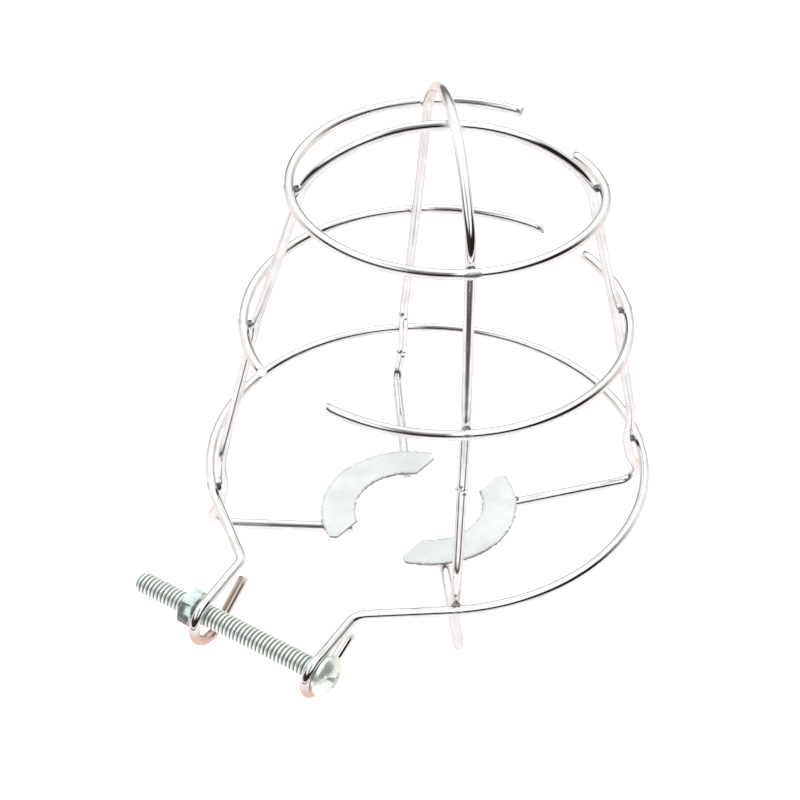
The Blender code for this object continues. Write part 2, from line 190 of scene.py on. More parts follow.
FRONT_SIDE = (-0.45, 0.0)
REAR_WIDTH = (0.85, 0.35)
REAR_TOP = (0.42, 0.12)
BAND_DEPTH = (-0.10, 0.55)
HAZE_RIGHT = (0.10, 0.03)
HAZE_LEFT = (-0.50, -0.30)
HAZE_DEPTH = (0.10, -0.15)
HAZE_TOP = (1.0, 0.93)
HAZE_FADE = (0.45, 0.95)
BAND_TOP = (0.38, 0.56)
BAND_RISE = (0.45, 0.9, 0.0, 0.3)
FLOOR_FADE = (-0.2, 0.5)
TABLE_EDGE_LOW = (-0.33, -0.27)
TABLE_EDGE_HIGH = (-0.185, -0.215)
TABLE_EDGE_DEPTH = (0.0, -0.4)
HORIZON = (-0.06, -0.12)


def link(item):
    bpy.context.scene.collection.objects.link(item)
    return item


# Paths of the wires

def bearing_vector(degrees):
    angle = math.radians(degrees)
    return Vector((math.cos(angle), math.sin(angle), 0.0))


def axis_at(height):
    run = (height - LEAN_PIVOT_HEIGHT) * LEAN
    return Vector((run * math.cos(LEAN_BEARING), run * math.sin(LEAN_BEARING), height))


def cage_centre():
    ring = axis_at(BOTTOM_RING_HEIGHT)
    return Vector((-ring.x, (FRONT - BACK - ring.y) / 2, 0.0))


def rounded(corners, radii, step=BEND_STEP):
    """The polyline through the corners, with each inner corner turned into an arc."""
    path = [corners[0]]
    radii = radii + [0.0] * (len(corners) - 2 - len(radii))
    for before, corner, after, radius in zip(corners, corners[1:], corners[2:], radii):
        back = (before - corner).normalized()
        ahead = (after - corner).normalized()
        opening = back.angle(ahead)
        turn = math.pi - opening
        if radius <= 0.0 or turn < step / 4:
            path.append(corner)
            continue
        centre = corner + (back + ahead).normalized() * (radius / math.sin(opening / 2))
        start = corner + back * (radius / math.tan(opening / 2)) - centre
        finish = corner + ahead * (radius / math.tan(opening / 2)) - centre
        across = (finish - start * (finish.dot(start) / start.length_squared)).normalized() * radius
        count = max(3, round(turn / step))
        for index in range(count + 1):
            angle = turn * index / count
            path.append(centre + start * math.cos(angle) + across * math.sin(angle))
    path.append(corners[-1])
    return path


def ring_arc(centre, radius, first, last, step=RING_STEP):
    count = max(2, round(abs(last - first) / step))
    return [centre + bearing_vector(first + (last - first) * index / count) * radius
            for index in range(count + 1)]


def contact(name, ring):
    """The centre of a leg where it is welded inside a ring: 0 bottom, 1 middle, 2 top."""
    half = "right" if name in ("front", "right") else "left"
    radius, height, shift = (
        (BOTTOM_RING_RADIUS, BOTTOM_RING_HEIGHT, Vector()),
        (MIDDLE_RING_RADIUS[half], MIDDLE_RING_HEIGHT, MIDDLE_RING_SHIFT[half]),
        (TOP_RING_RADIUS - LEG_EASE[name], TOP_RING_HEIGHT, Vector()),
    )[ring]
    outward = bearing_vector(LEG_BEARINGS[name][ring])
    return axis_at(height) + shift + outward * (radius - CONTACT - WELD_SLACK)


def leg(name):
    bottom = contact(name, 0)
    outward = bearing_vector(LEG_BEARINGS[name][0])
    arm = UP * ARM_HEIGHT
    corners = [
        ARM_END[name] + arm,
        FOOT_PLACE[name] + arm,
        bottom + outward * NOTCH_DEPTH - UP * NOTCH_BELOW,
        bottom,
        bottom + outward * NOTCH_DEPTH / 2 + UP * NOTCH_ABOVE,
        contact(name, 1),
    ]
    return corners, [FOOT_BEND, NOTCH_BEND, NOTCH_BEND, 3 * NOTCH_BEND, LEG_BEND]


def shoulder(name, middle, along, edge, slope):
    ring, top = contact(name, 1), contact(name, 2)
    climb = (top - ring) / (top.z - ring.z)
    taper = climb.dot(along)
    reach = (top - middle).dot(along)
    rise = ((edge.z - top.z) + slope * ((edge - middle).dot(along) - reach)) / (1 + slope * taper)
    return top + climb * rise


def arch_path(first, second, crown_height, tilt):
    tops = contact(first, 2), contact(second, 2)
    middle = (tops[0] + tops[1]) / 2
    along = Vector((tops[0].x - middle.x, tops[0].y - middle.y, 0.0)).normalized()
    arc = []
    for index in range(CROWN_STEPS + 1):
        reach = CROWN_REACH * (1 - 2 * index / CROWN_STEPS)
        drop = CROWN_RADIUS - math.sqrt(CROWN_RADIUS ** 2 - reach ** 2)
        place = middle + along * reach
        arc.append(Vector((place.x, place.y, crown_height - drop + tilt * reach)))
    slope = CROWN_REACH / math.sqrt(CROWN_RADIUS ** 2 - CROWN_REACH ** 2)
    here, here_radii = leg(first)
    there, there_radii = leg(second)
    corners = (here + [shoulder(first, middle, along, arc[0], slope)] + arc
               + [shoulder(second, middle, -along, arc[-1], slope)] + there[::-1])
    radii = (here_radii + [SHOULDER_RADIUS] + [0.0] * len(arc)
             + [SHOULDER_RADIUS] + there_radii[::-1])
    return rounded(corners, radii)


def top_ring_path():
    first, last = TOP_RING_ENDS
    centre = axis_at(TOP_RING_HEIGHT)
    path = ring_arc(centre, TOP_RING_RADIUS, first, last)
    tight = centre + bearing_vector(last) * (TOP_RING_RADIUS - TOP_RING_TIGHT_RADIUS)
    return path + ring_arc(tight, TOP_RING_TIGHT_RADIUS, last, last + TOP_RING_TURN_IN)[1:]


def middle_ring_path(side):
    centre = axis_at(MIDDLE_RING_HEIGHT) + MIDDLE_RING_SHIFT[side]
    return ring_arc(centre, MIDDLE_RING_RADIUS[side], *MIDDLE_RING_ENDS[side])


def hook(side):
    """The clamp ring's hooked end, from the top of its eye round the screw to its tail's tip."""
    top = Vector((EYE_X[side], -SCREW_DISTANCE, BOTTOM_RING_HEIGHT))
    radius = EYE_RADIUS[side]
    path = []
    for index in range(EYE_STEPS + 1):
        turned = index / EYE_STEPS
        angle = math.radians(180.0 + EYE_WRAP) * turned
        path.append(top + Vector((EYE_DRIFT[side] * turned, -radius * math.sin(angle),
                                  radius * (math.cos(angle) - 1))))
    tip = Vector((top.x + TAIL_DRIFT[side], path[-1].y + TAIL_REACH, path[-1].z + TAIL_RISE[side]))
    path.append(tip)
    return path


def clamp_ring_path():
    centre = axis_at(BOTTOM_RING_HEIGHT)
    body = ring_arc(centre, BOTTOM_RING_RADIUS, -LEAD_TANGENT, 180.0 + LEAD_TANGENT)
    sides = {}
    for side, joint in (("right", body[0]), ("left", body[-1])):
        corner = Vector((LEAD_X[side], -LEAD_CORNER, BOTTOM_RING_HEIGHT))
        sides[side] = rounded([joint, corner] + hook(side), [LEAD_BEND, LEAD_BEND])[1:]
    return sides["right"][::-1] + body + sides["left"]


# Node helpers

class Graph:
    """A material's node tree, with short calls for the nodes used here."""

    def __init__(self, name=None, tree=None):
        if name:
            self.material = bpy.data.materials.new(name)
            self.material.use_nodes = True
            tree = self.material.node_tree
            self.shader = tree.nodes["Principled BSDF"]
        self.tree = tree
        self.place = None
        if name:
            self.place = self.node("ShaderNodeTexCoord").outputs["Object"]

    def node(self, kind, **settings):
        made = self.tree.nodes.new(kind)
        for key, value in settings.items():
            setattr(made, key, value)
        return made

    def feed(self, socket, value):
        if isinstance(value, bpy.types.NodeSocket):
            self.tree.links.new(value, socket)
        else:
            socket.default_value = value

    def noise(self, scale, detail=3.0, roughness=0.5, place=None, stretch=None):
        made = self.node("ShaderNodeTexNoise")
        place = place or self.place
        if stretch:
            mapping = self.node("ShaderNodeMapping")
            self.feed(mapping.inputs["Vector"], place)
            mapping.inputs["Scale"].default_value = stretch
            place = mapping.outputs["Vector"]
        self.feed(made.inputs["Vector"], place)
        made.inputs["Scale"].default_value = scale
        made.inputs["Detail"].default_value = detail
        made.inputs["Roughness"].default_value = roughness
        return made.outputs["Fac"]

    def spread(self, value, low, high, to_low=0.0, to_high=1.0):
        made = self.node("ShaderNodeMapRange", interpolation_type="SMOOTHSTEP")
        for socket, item in zip(made.inputs, (value, low, high, to_low, to_high)):
            self.feed(socket, item)
        return made.outputs["Result"]

    def math(self, operation, first, second=0.0):
        made = self.node("ShaderNodeMath", operation=operation)
        self.feed(made.inputs[0], first)
        self.feed(made.inputs[1], second)
        return made.outputs["Value"]

    def product(self, first, *others):
        for other in others:
            first = self.math("MULTIPLY", first, other)
        return first

    def mix(self, share, first, second):
        made = self.node("ShaderNodeMix", data_type="RGBA")
        self.feed(made.inputs["Factor"], share)
        self.feed(made.inputs["A"], first if not isinstance(first, tuple) else (*first, 1.0))
        self.feed(made.inputs["B"], second if not isinstance(second, tuple) else (*second, 1.0))
        return made.outputs["Result"]

    def attribute(self, name):
        return self.node("ShaderNodeAttribute", attribute_name=name).outputs["Fac"]

    def uv(self):
        return self.node("ShaderNodeUVMap", uv_map="along").outputs["UV"]

    def bump(self, *layers):
        """Stacks (height, distance in metres, strength) layers on the shader's normal."""
        last = None
        for height, distance, strength in layers:
            made = self.node("ShaderNodeBump")
            made.inputs["Distance"].default_value = distance
            made.inputs["Strength"].default_value = strength
            self.feed(made.inputs["Height"], height)
            if last:
                self.feed(made.inputs["Normal"], last)
            last = made.outputs["Normal"]
        self.feed(self.shader.inputs["Normal"], last)

    def finish(self, colour, roughness, metallic=1.0):
        self.feed(self.shader.inputs["Base Color"], colour)
        self.feed(self.shader.inputs["Roughness"], roughness)
        self.feed(self.shader.inputs["Metallic"], metallic)
        return self.material


# Materials

def wire_material():
    """Bright plate on drawn wire: cloudy plating, faint die lines, dull spots by the welds, a
    painted peach reflection under the eyes and a painted shade on top of the left tail.
    """
    graph = Graph("bright_wire")
    cloud = graph.noise(160.0, 4.0, 0.55)
    spots = graph.noise(1400.0, 2.0, 0.6)
    lines = graph.noise(1.0, 3.0, 0.6, graph.uv(), (900.0, 25.0, 1.0))
    heat = graph.attribute("heat")
    plate = graph.mix(graph.spread(cloud, 0.35, 0.7), (0.89, 0.895, 0.89), (0.79, 0.785, 0.775))
    freckled = graph.mix(graph.spread(spots, 0.68, 0.8, 0.0, 0.5), plate, (0.45, 0.44, 0.41))
    # Painted reflection: a peach tint on the undersides of the eyes, standing in for the warm floor
    # seen in them.
    painted_peach_reflection = graph.attribute("painted_peach_reflection")
    plate_with_painted_light = graph.mix(graph.math("MULTIPLY", painted_peach_reflection, graph.spread(cloud, 0.25, 0.5, 0.75, 1.0)),
                       freckled, (0.70, 0.54, 0.46))
    # Painted shade: dark brown over the upward-facing side of the left tail.
    plate_with_painted_light = graph.mix(graph.math("MULTIPLY", graph.attribute("painted_tail_shade"), 0.9), plate_with_painted_light,
                       (0.20, 0.14, 0.11))
    colour = graph.mix(graph.spread(heat, 0.1, 1.0, 0.0, 0.8), plate_with_painted_light, (0.22, 0.20, 0.19))
    rough = graph.math("ADD", graph.spread(cloud, 0.3, 0.75, 0.03, 0.10),
                       graph.spread(lines, 0.4, 0.8, 0.0, 0.04))
    rough = graph.math("ADD", rough, graph.math("MULTIPLY", heat, 0.35))
    rough = graph.math("ADD", rough, graph.math("MULTIPLY", painted_peach_reflection, 0.16))
    satin = graph.attribute("satin")
    rough = graph.math("ADD", rough, graph.math("MULTIPLY", satin, 0.22))
    graph.bump((graph.noise(90.0, 2.0, 0.5), 0.00012, 0.35), (lines, 0.000004, 0.5),
               (spots, 0.00001, 0.3))
    return graph.finish(colour, rough, graph.spread(satin, 0.0, 1.0, 1.0, 0.68))


def nugget_material():
    """Weld metal: dark heat scale over bright plate, pitted."""
    graph = Graph("weld_metal")
    scale = graph.noise(900.0, 4.0, 0.6)
    pits = graph.noise(2600.0, 2.0, 0.5)
    colour = graph.mix(graph.spread(scale, 0.42, 0.6), (0.10, 0.095, 0.10), (0.46, 0.44, 0.43))
    graph.bump((scale, 0.0002, 0.6), (pits, 0.00006, 0.5))
    return graph.finish(colour, graph.spread(pits, 0.3, 0.7, 0.28, 0.5))


def cut_end_material():
    """The sheared face of a cut wire: bare grey steel with shear marks."""
    graph = Graph("sheared_steel")
    marks = graph.noise(1.0, 3.0, 0.6, None, (5000.0, 900.0, 900.0))
    colour = graph.mix(graph.spread(marks, 0.35, 0.65), (0.80, 0.80, 0.80), (0.93, 0.93, 0.93))
    burr = graph.noise(420.0, 1.0, 0.5)
    colour = graph.mix(graph.spread(burr, 0.55, 0.62, 0.0, 0.6), colour, (0.12, 0.11, 0.10))
    graph.bump((marks, 0.00003, 0.5))
    return graph.finish(colour, graph.spread(marks, 0.3, 0.7, 0.3, 0.45), 0.6)


def mark_material():
    """Where an electrode pressed: flattened, dulled plate, grey-green with a dark smear."""
    graph = Graph("electrode_mark")
    smear = graph.noise(700.0, 3.0, 0.6)
    colour = graph.mix(graph.spread(smear, 0.4, 0.65), (0.66, 0.69, 0.66), (0.34, 0.35, 0.33))
    graph.bump((smear, 0.00005, 0.4))
    return graph.finish(colour, graph.spread(smear, 0.3, 0.7, 0.3, 0.5))


def sheet_material():
    """Satin zinc plate on sheet steel, with rolling grain, dull patches, weld bruises and a painted
    shade over the arms beneath it.
    """
    graph = Graph("satin_sheet")
    cloud = graph.noise(120.0, 4.0, 0.6)
    grain = graph.noise(1.0, 4.0, 0.65, None, (3500.0, 240.0, 900.0))
    specks = graph.noise(1800.0, 2.0, 0.5)
    heat = graph.attribute("heat")
    edge = graph.attribute("edge")
    base = graph.mix(graph.spread(cloud, 0.35, 0.68), (0.84, 0.86, 0.855), (0.79, 0.81, 0.805))
    base = graph.mix(graph.spread(grain, 0.45, 0.8, 0.0, 0.25), base, (0.56, 0.57, 0.57))
    base = graph.mix(graph.spread(specks, 0.7, 0.8, 0.0, 0.5), base, (0.30, 0.30, 0.30))
    # The heat attribute darkens real weld bruises and a painted shade along the arms under the
    # plate.
    base = graph.mix(graph.math("MULTIPLY", heat, 0.75), base, (0.36, 0.36, 0.37))
    colour = graph.mix(graph.math("MULTIPLY", edge, 0.75), base, (0.17, 0.17, 0.175))
    rough = graph.math("ADD", graph.spread(cloud, 0.3, 0.7, 0.28, 0.42),
                       graph.spread(grain, 0.4, 0.8, 0.0, 0.1))
    graph.bump((cloud, 0.00015, 0.3), (grain, 0.00001, 0.6), (specks, 0.00002, 0.4))
    return graph.finish(colour, rough)


def zinc_material(name, light, dark, grime_and_shade, gloss, streaks, depth, metal):
    """Bright zinc with a faint green passivate and specks and streaks of grime; where the 'deep'
    attribute says, the same dark colour is painted shade.
    """
    graph = Graph(name)
    cloud = graph.noise(420.0, 4.0, 0.6)
    specks = graph.noise(3200.0, 2.0, 0.5)
    deep = graph.attribute("deep")
    base = graph.mix(graph.spread(cloud, 0.35, 0.7), light, dark)
    base = graph.mix(graph.spread(specks, 0.66, 0.8, 0.0, 0.4), base, grime_and_shade)
    rolled = graph.noise(1.0, 3.0, 0.6, None, (120.0, 1500.0, 1500.0))
    base = graph.mix(graph.spread(rolled, 0.5, 0.72, 0.0, streaks), base, grime_and_shade)
    # Painted shade: darker where the 'deep' attribute says, in the thread's roots, the head's
    # recess and the nut's bore.
    colour = graph.mix(graph.spread(deep, 0.1, 0.95, 0.0, depth), base, grime_and_shade)
    rough = graph.math("ADD", graph.spread(cloud, 0.3, 0.7, gloss, gloss + 0.1),
                       graph.math("MULTIPLY", deep, 0.2))
    graph.bump((cloud, 0.00006, 0.3), (specks, 0.000012, 0.4), (rolled, 0.00001, 0.4))
    return graph.finish(colour, rough, metal)


def floor_material():
    """A plain pale sheet with a very slight texture."""
    graph = Graph("pale_floor")
    fibre = graph.noise(300.0, 3.0, 0.5)
    colour = graph.mix(fibre, (0.93, 0.92, 0.915), (0.95, 0.94, 0.935))
    graph.bump((fibre, 0.0001, 0.05))
    graph.shader.inputs["Emission Color"].default_value = (*WHITE, 1.0)
    graph.shader.inputs["Emission Strength"].default_value = FLOOR_GLOW
    return graph.finish(colour, graph.spread(fibre, 0.3, 0.7, 0.8, 0.9), 0.0)


# Meshes of the wires

def frames_along(path):
    """A direction and two crosswise axes at each point, without twist."""
    count = len(path)
    ahead = [(path[min(i + 1, count - 1)] - path[max(i - 1, 0)]).normalized() for i in range(count)]
    side = ahead[0].orthogonal().normalized()
    made = []
    for direction in ahead:
        side = (side - direction * side.dot(direction)).normalized()
        made.append((direction, side, direction.cross(side)))
    return made


def tidy_path(path, shortest=0.15 * MM, longest=3.0 * MM):
    """The path without repeated points, and with long straights divided."""
    kept = [path[0]]
    for place in path[1:]:
        step = place - kept[-1]
        if step.length < shortest:
            continue
        pieces = max(1, math.ceil(step.length / longest))
        start = kept[-1]
        for index in range(1, pieces + 1):
            kept.append(start + step * (index / pieces))
    return kept


def wire_mesh(name, path, node, materials, hot_places, shear):
    """A drawn wire with sheared ends; hot_places are the welds on it, shear its ends' slants."""
    centre = cage_centre()
    path = [place + centre for place in tidy_path(path)]
    axes = frames_along(path)
    radius = WIRE / 2
    shape = bmesh.new()
    along_layer = shape.loops.layers.uv.new("along")
    rings, lengths, travelled = [], [], 0.0
    for index, (place, (ahead, side, over)) in enumerate(zip(path, axes)):
        if index:
            travelled += (place - path[index - 1]).length
        lengths.append(travelled)
        ring = []
        for step in range(TUBE_SIDES):
            angle = math.tau * step / TUBE_SIDES
            out = side * math.cos(angle) + over * math.sin(angle)
            slip = Vector()
            if index in (0, len(path) - 1):
                slant, lean = shear[0 if index == 0 else 1]
                slip = ahead * (radius * slant * math.cos(angle - lean))
            worn = 0.97 if index in (0, len(path) - 1) else 1.0
            ring.append(shape.verts.new(place + out * radius * worn + slip))
        rings.append(ring)
    for index, (near, far) in enumerate(zip(rings, rings[1:])):
        for step in range(TUBE_SIDES):
            after = (step + 1) % TUBE_SIDES
            face = shape.faces.new((near[step], near[after], far[after], far[step]))
            turn = step / TUBE_SIDES
            corners = ((turn, lengths[index]), (turn + 1 / TUBE_SIDES, lengths[index]),
                       (turn + 1 / TUBE_SIDES, lengths[index + 1]), (turn, lengths[index + 1]))
            for loop, corner in zip(face.loops, corners):
                loop[along_layer].uv = corner
            face.smooth = True
    for ring, (ahead, side, over), way in ((rings[0], axes[0], -1.0), (rings[-1], axes[-1], 1.0)):
        close_cut_end(shape, ring, ahead * way)
    bmesh.ops.recalc_face_normals(shape, faces=shape.faces)
    mesh = bpy.data.meshes.new(name)
    shape.to_mesh(mesh)
    shape.free()
    for material in materials:
        mesh.materials.append(material)
    paint_heat_and_light(mesh, hot_places)
    item = link(bpy.data.objects.new(name, mesh))
    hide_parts(node)
    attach(item, "cage")
    return item


def close_cut_end(shape, ring, outward):
    """A small rolled lip and a slightly hollow sheared face."""
    middle = sum((vert.co for vert in ring), Vector()) / len(ring)
    before = ring
    for share, push, torn in ((0.96, 0.05, 0), (0.86, 0.07, 1), (0.45, 0.02, 1)):
        inner = [shape.verts.new(middle + (vert.co - middle) * share + outward * push * MM)
                 for vert in ring]
        for step in range(len(ring)):
            after = (step + 1) % len(ring)
            face = shape.faces.new((before[step], before[after], inner[after], inner[step]))
            face.smooth = True
            face.material_index = torn
        before = inner
    cap = shape.faces.new(before)
    cap.smooth = True
    cap.material_index = 1


def crown_bloom(place):
    """How milky the plating is: on the upper arch's crown, from its weld towards the front."""
    forward = bearing_vector(LEG_BEARINGS["front"][2])
    away = place - crown_weld()[1]
    along = away.dot(forward)
    if abs(away.cross(forward).dot(UP)) > WIRE or away.z < -25.0 * MM:
        return 0.0
    return (min(1.0, max(0.0, 0.5 + along / (4.0 * MM)))
            * min(1.0, max(0.0, 2.4 - along / (9.0 * MM))))


def paint_heat_and_light(mesh, hot_places, reach=4.2 * MM):
    """Point attributes: how near a weld a vertex is, how milky the crown's plating is, a painted
    peach reflection under the eyes and a painted shade on top of the left tail.
    """
    heat = mesh.attributes.new("heat", "FLOAT", "POINT")
    painted_peach_reflection = mesh.attributes.new("painted_peach_reflection", "FLOAT", "POINT")
    painted_tail_shade = mesh.attributes.new("painted_tail_shade", "FLOAT", "POINT")
    satin = mesh.attributes.new("satin", "FLOAT", "POINT")
    rear = cage_centre().y - SCREW_DISTANCE + 8.0 * MM
    for index, vert in enumerate(mesh.vertices):
        nearest = min((vert.co - place).length for place in hot_places)
        ragged = 1.0 + 0.5 * noise.noise(vert.co / (0.9 * MM))
        heat.data[index].value = max(0.0, 1.0 - nearest * ragged / reach) ** 1.5
        fall = (BOTTOM_RING_HEIGHT - 3.0 * MM - vert.co.z) / (4.0 * MM)
        forward = (rear - vert.co.y) / (3.0 * MM)
        satin.data[index].value = crown_bloom(vert.co)
        low = min(1.0, max(0.0, fall))
        # Painted reflection: the low, forward parts of the hooks, the eyes' undersides, take the
        # peach tint.
        painted_peach_reflection.data[index].value = low * min(1.0, max(0.0, forward))
        tail = vert.co.x < 0.0 and forward < 1.5 and vert.co.y < rear + 12.0 * MM
        # Painted shade on the upward-facing side of the left tail, with half the painted peach
        # reflection.
        if tail and low > 0.0:
            painted_tail_shade.data[index].value = low * min(1.0, max(0.0, (vert.normal.z - 0.78) * 6.0))
            painted_peach_reflection.data[index].value = low * 0.5


# Weld nuggets

def blob(name, place, axes, half, seed, material):
    """A lump of weld metal: an uneven lens, half its size along three axes."""
    shape = bmesh.new()
    bmesh.ops.create_icosphere(shape, subdivisions=3, radius=1.0)
    offset = Vector((seed * 3.7, seed * 1.3, seed * 2.1))
    for vert in shape.verts:
        rough = 1.0 + 0.28 * noise.noise(vert.co * 1.6 + offset) + 0.10 * noise.noise(
            vert.co * 5.0 + offset)
        local = vert.co * rough
        vert.co = sum((axis * (part * size) for axis, part, size in zip(axes, local, half)),
                      Vector()) + place
    for face in shape.faces:
        face.smooth = True
    bmesh.ops.recalc_face_normals(shape, faces=shape.faces)
    mesh = bpy.data.meshes.new(name)
    shape.to_mesh(mesh)
    shape.free()
    mesh.materials.append(material)
    item = link(bpy.data.objects.new(name, mesh))
    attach(item, "cage")
    return item


def leg_direction(name, ring):
    if ring == 0:
        return (contact(name, 1) - contact(name, 0)).normalized()
    return (contact(name, 2) - contact(name, 1)).normalized()


def weld_places():
    """Each weld between two wires: its middle, and axes across, along the ring and up the leg."""
    made = []
    for name in LEG_BEARINGS:
        for ring in range(3):
            outward = bearing_vector(LEG_BEARINGS[name][ring])
            around = bearing_vector(LEG_BEARINGS[name][ring] + 90.0)
            place = contact(name, ring) + outward * (CONTACT + WELD_SLACK) / 2
            made.append((name + "_" + ("bottom", "middle", "top")[ring], place + cage_centre(),
                         (outward, around, leg_direction(name, ring))))
    return made


def crown_weld():
    tops = contact("front", 2), contact("back", 2)
    middle = (tops[0] + tops[1]) / 2
    along = (tops[0] - tops[1]).normalized()
    place = Vector((middle.x, middle.y, CROWN_HEIGHT + UPPER_ARCH_LIFT / 2)) + cage_centre()
    return "crown", place, (UP, along, UP.cross(along))


def arm_weld(name):
    side = "right" if name in ("front", "right") else "left"
    inward = (ARM_END[name] - FOOT_PLACE[name]).normalized()
    outer = ARM_END[name] - inward * 5.2 * MM
    height = UP * (WIRE + GAP / 2)
    return "arm_" + name, outer + height + cage_centre(), (UP, inward.cross(UP), inward), side


def leg_at(path, height, near):
    """Where a wire's path crosses a height, nearest to a point, and its direction there."""
    best = None
    for low, high in zip(path, path[1:]):
        if low.z > high.z:
            low, high = high, low
        if not low.z <= height < high.z:
            continue
        place = low.lerp(high, (height - low.z) / (high.z - low.z))
        if best is None or (place - near).length < (best[0] - near).length:
            best = place, (high - low).normalized()
    return best[0] + cage_centre(), best[1]


def old_beads(path, bright, weld):
    """Weld beads left on the legs: one a third of the way up the front leg, two on the back leg."""
    for seed, (name, height) in enumerate(OLD_BEADS):
        place, up = leg_at(path, height, contact(name, 0))
        outward = bearing_vector(LEG_BEARINGS[name][0])
        facing = outward if name == "front" else -outward
        around = up.cross(facing).normalized()
        facing = around.cross(up).normalized()
        blob(f"bead_{seed}", place - around * 0.1 * MM, (facing, around, up),
             (1.65 * MM, 1.8 * MM, 1.4 * MM), 31 + seed, bright)
        for mark, (over, rise) in enumerate(((-0.55, 1.2), (0.4, -1.0))):
            pit = place + facing * 1.42 * MM + around * over * MM + up * rise * MM
            blob(f"pit_{seed}_{mark}", pit, (facing, around, up),
                 (0.25 * MM, 0.5 * MM, 0.4 * MM), 40 + 2 * seed + mark, weld)


def electrode_mark(name, ring, material):
    """The flat the welding electrode left on the outside of a ring."""
    outward = bearing_vector(LEG_BEARINGS[name][ring])
    around = bearing_vector(LEG_BEARINGS[name][ring] + 90.0)
    facing = (outward + UP * MARK_RISE).normalized()
    place = contact(name, ring) + outward * (CONTACT + WELD_SLACK) + cage_centre()
    size = 1.0 if (name, ring) == ("front", 2) else 0.6
    blob(f"mark_{name}_{ring}", place + facing * (WIRE / 2 - 0.08 * MM),
         (facing, around, facing.cross(around)),
         (0.16 * MM, 2.6 * MM * size, 0.75 * MM * size), 60 + ring, material)


# Collar plates

def plate_angle(radius):
    """Half the plate's angle at a radius, with the outer corners clipped."""
    outer_y = math.sqrt(PLATE_OUTER_RADIUS ** 2 - PLATE_CUT ** 2)
    corner = math.hypot(PLATE_CUT, outer_y - PLATE_CORNER)
    if radius <= corner:
        return math.acos(PLATE_CUT / radius)
    whole = math.acos(PLATE_CUT / PLATE_OUTER_RADIUS)
    clipped = whole - PLATE_CORNER / PLATE_OUTER_RADIUS
    share = (radius - corner) / (PLATE_OUTER_RADIUS - corner)
    return math.acos(PLATE_CUT / corner) * (1 - share) + clipped * share


def distance_to_arm(name, place):
    """How far a point is, seen from above, from the middle line of a foot arm under the plate."""
    end = ARM_END[name] + cage_centre()
    inward = (ARM_END[name] - FOOT_PLACE[name]).normalized()
    away = Vector((place.x - end.x, place.y - end.y, 0.0))
    along = min(0.0, away.dot(inward))
    return (away - inward * along).length


def collar_plate(side, material):
    """A sheared plate, a little bowed, bruised over the welds on its two arms, with a painted shade
    along the lines of the arms beneath.
    """
    turn = Matrix.Rotation(math.radians(PLATE_TURN[side]), 4, "Z")
    base = PLATE_CENTRE[side] + cage_centre()
    arms = [name for name in LEG_BEARINGS if (name in ("front", "right")) == (side == "right")]
    bruises = [arm_weld(name)[1] for name in arms]
    across, around = PLATE_ROWS, PLATE_COLUMNS
    shape = bmesh.new()
    layers = []
    for level in (WIRE + GAP + PLATE_THICKNESS, WIRE + GAP):
        grid = []
        for row in range(across + 1):
            radius = PLATE_INNER_RADIUS + (PLATE_OUTER_RADIUS - PLATE_INNER_RADIUS) * row / across
            half = plate_angle(radius)
            line = []
            for column in range(around + 1):
                angle = half * (2 * column / around - 1)
                ragged = 0.0
                if row in (0, across):
                    ragged = 0.5 * MM * noise.noise(Vector((angle * 34.0, level / MM, row)))
                out = radius + ragged
                flat = turn @ Vector((out * math.cos(angle), out * math.sin(angle), 0.0)) + base
                line.append(shape.verts.new((flat.x, flat.y, level)))
            grid.append(line)
        layers.append(grid)
    upper, lower = layers
    for grid in layers:
        for row in range(across):
            for column in range(around):
                shape.faces.new((grid[row][column], grid[row + 1][column],
                                 grid[row + 1][column + 1], grid[row][column + 1]))
    rim = ([(row, 0) for row in range(across)] + [(across, column) for column in range(around)]
           + [(row, around) for row in range(across, 0, -1)]
           + [(0, column) for column in range(around, 0, -1)])
    for (r, c), (r2, c2) in zip(rim, rim[1:] + rim[:1]):
        shape.faces.new((upper[r][c], upper[r2][c2], lower[r2][c2], lower[r][c]))
    bmesh.ops.recalc_face_normals(shape, faces=shape.faces)
    sharp = [edge for edge in shape.edges
             if len(edge.link_faces) == 2 and edge.calc_face_angle() > math.radians(50.0)]
    bmesh.ops.bevel(shape, geom=sharp, offset=0.16 * MM, segments=2, profile=0.6,
                    affect="EDGES", clamp_overlap=True)
    top = WIRE + GAP + PLATE_THICKNESS
    edge_layer = shape.verts.layers.float.new("edge")
    heat_and_shade_layer = shape.verts.layers.float.new("heat")
    for vert in shape.verts:
        rim_face = any(abs(face.normal.z) < 0.9 for face in vert.link_faces)
        out = Vector((vert.co.x - base.x, vert.co.y - base.y)).length
        to_rim = min(out - PLATE_INNER_RADIUS, PLATE_OUTER_RADIUS - out)
        chips = 0.5 + noise.noise(vert.co / (1.1 * MM))
        near_rim = max(0.0, 1.0 - max(0.0, to_rim) / (0.8 * MM)) * chips
        vert[edge_layer] = 1.0 if rim_face else min(0.7, max(0.0, near_rim))
        nearest = min((Vector((vert.co.x, vert.co.y, 0.0)) - Vector((b.x, b.y, 0.0))).length
                      for b in bruises)
        # Painted shade: a dark line over each foot arm beneath the plate; by the welds, real heat
        # bruises.
        painted_arm_shade = max(1.0 - distance_to_arm(name, vert.co) / (1.9 * MM) for name in arms)
        vert[heat_and_shade_layer] = max(0.45 * min(1.0, max(0.0, 2.0 * painted_arm_shade)),
                               max(0.0, 1.0 - nearest / (3.4 * MM)) ** 1.2)
        if vert.co.z > top - 0.02 * MM:
            vert.co.z -= 0.16 * MM * math.exp(-(nearest / (1.7 * MM)) ** 2)
            vert.co.z -= 0.03 * MM * (1.0 + noise.noise(vert.co / (6.0 * MM)))
    for face in shape.faces:
        face.smooth = True
    name = "plate_" + side
    mesh = bpy.data.meshes.new(name)
    shape.to_mesh(mesh)
    shape.free()
    mesh.materials.append(material)
    item = link(bpy.data.objects.new(name, mesh))
    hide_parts("collar_plate_" + side)
    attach(item, "cage")
    return item


# The screw and the nut

